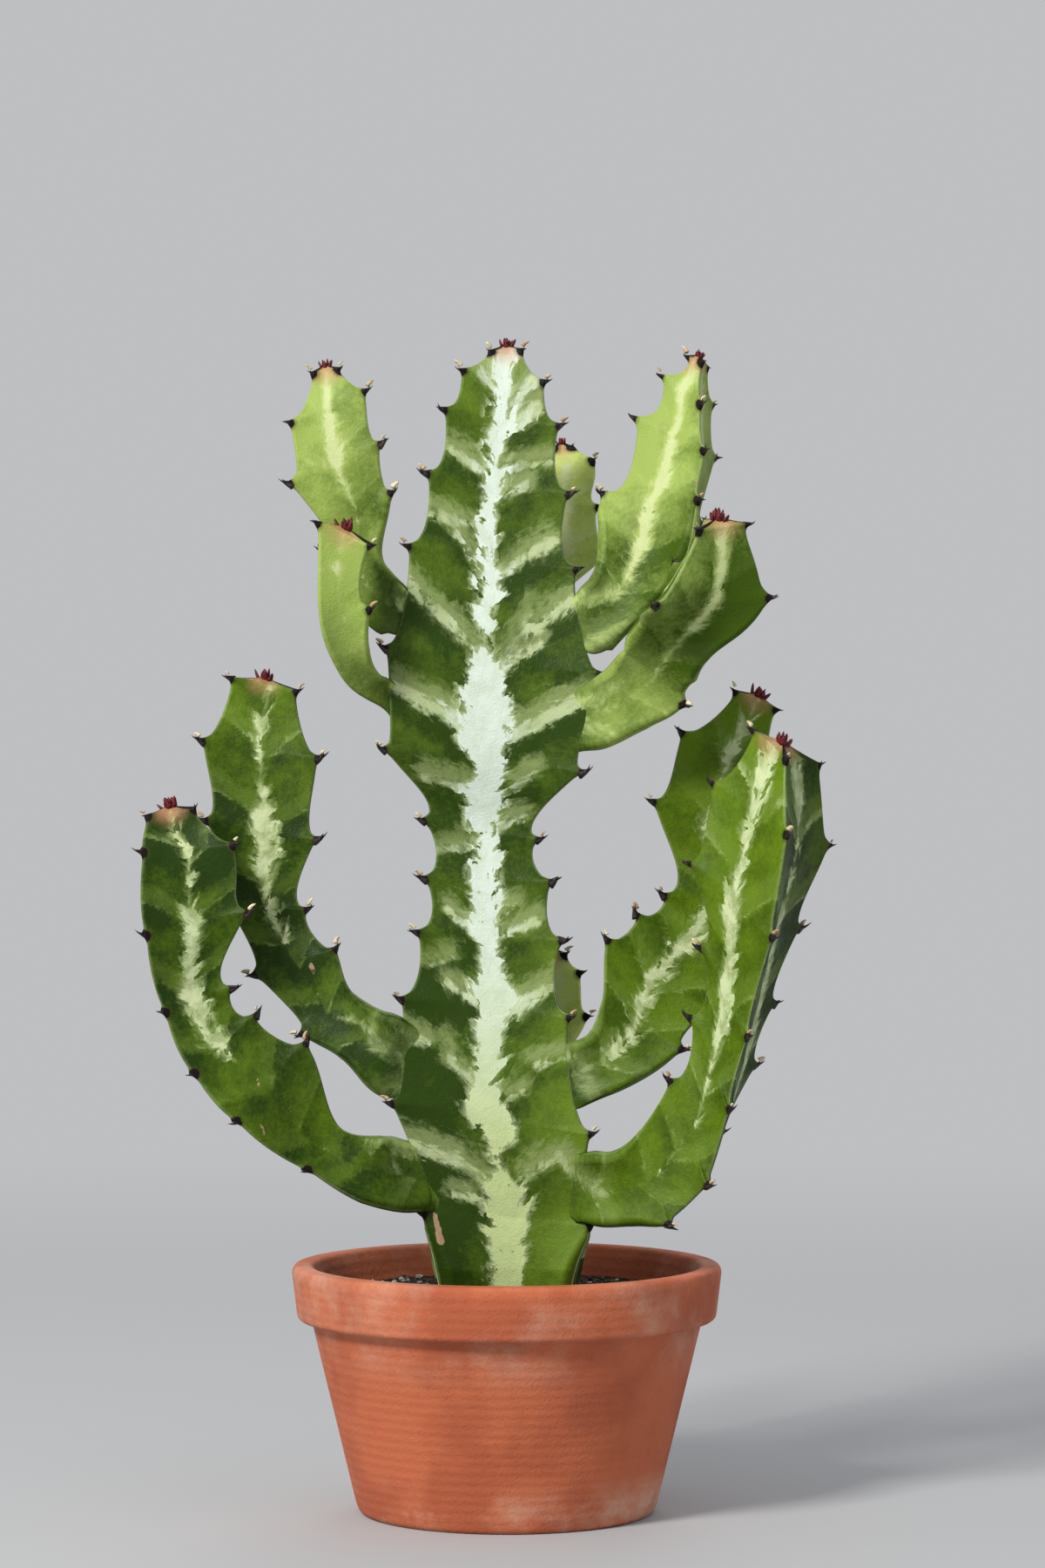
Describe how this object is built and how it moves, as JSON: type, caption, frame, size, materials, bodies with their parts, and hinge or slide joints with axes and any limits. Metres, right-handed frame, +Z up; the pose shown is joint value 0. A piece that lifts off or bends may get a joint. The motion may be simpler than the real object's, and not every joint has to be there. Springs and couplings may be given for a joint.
{
  "type": "potted mottled spurge",
  "caption": "Candelabra succulent with scalloped, three-ribbed, pale-mottled green stems and paired spines, standing in soil in a round clay pan",
  "frame": {"origin": "on the ground under the centre of the pot's flat foot", "axes": "+Z up along the main stem; the front that the picture shows faces -Y; +X is the picture's right"},
  "size_m": [0.2327, 0.148, 0.4014],
  "materials": {
    "terracotta": "matte",
    "potting_soil": "matte",
    "stem_mature": "satin",
    "stem_young": "satin",
    "stem_green": "satin",
    "stem_shaded": "satin"
  },
  "bodies": {
    "root": {"pot": "terracotta", "soil": "potting_soil", "main_stem": "stem_mature", "branch_upper_left_rear": "stem_young", "branch_upper_left_front": "stem_young", "branch_upper_right_rear": "stem_young", "branch_upper_right_front": "stem_young", "branch_back_upper": "stem_shaded", "branch_back_lower": "stem_shaded", "branch_lower_left_inner": "stem_green", "branch_lower_left_outer": "stem_green", "branch_lower_right_inner": "stem_green", "branch_lower_right_outer": "stem_green"}
  },
  "joints": []
}
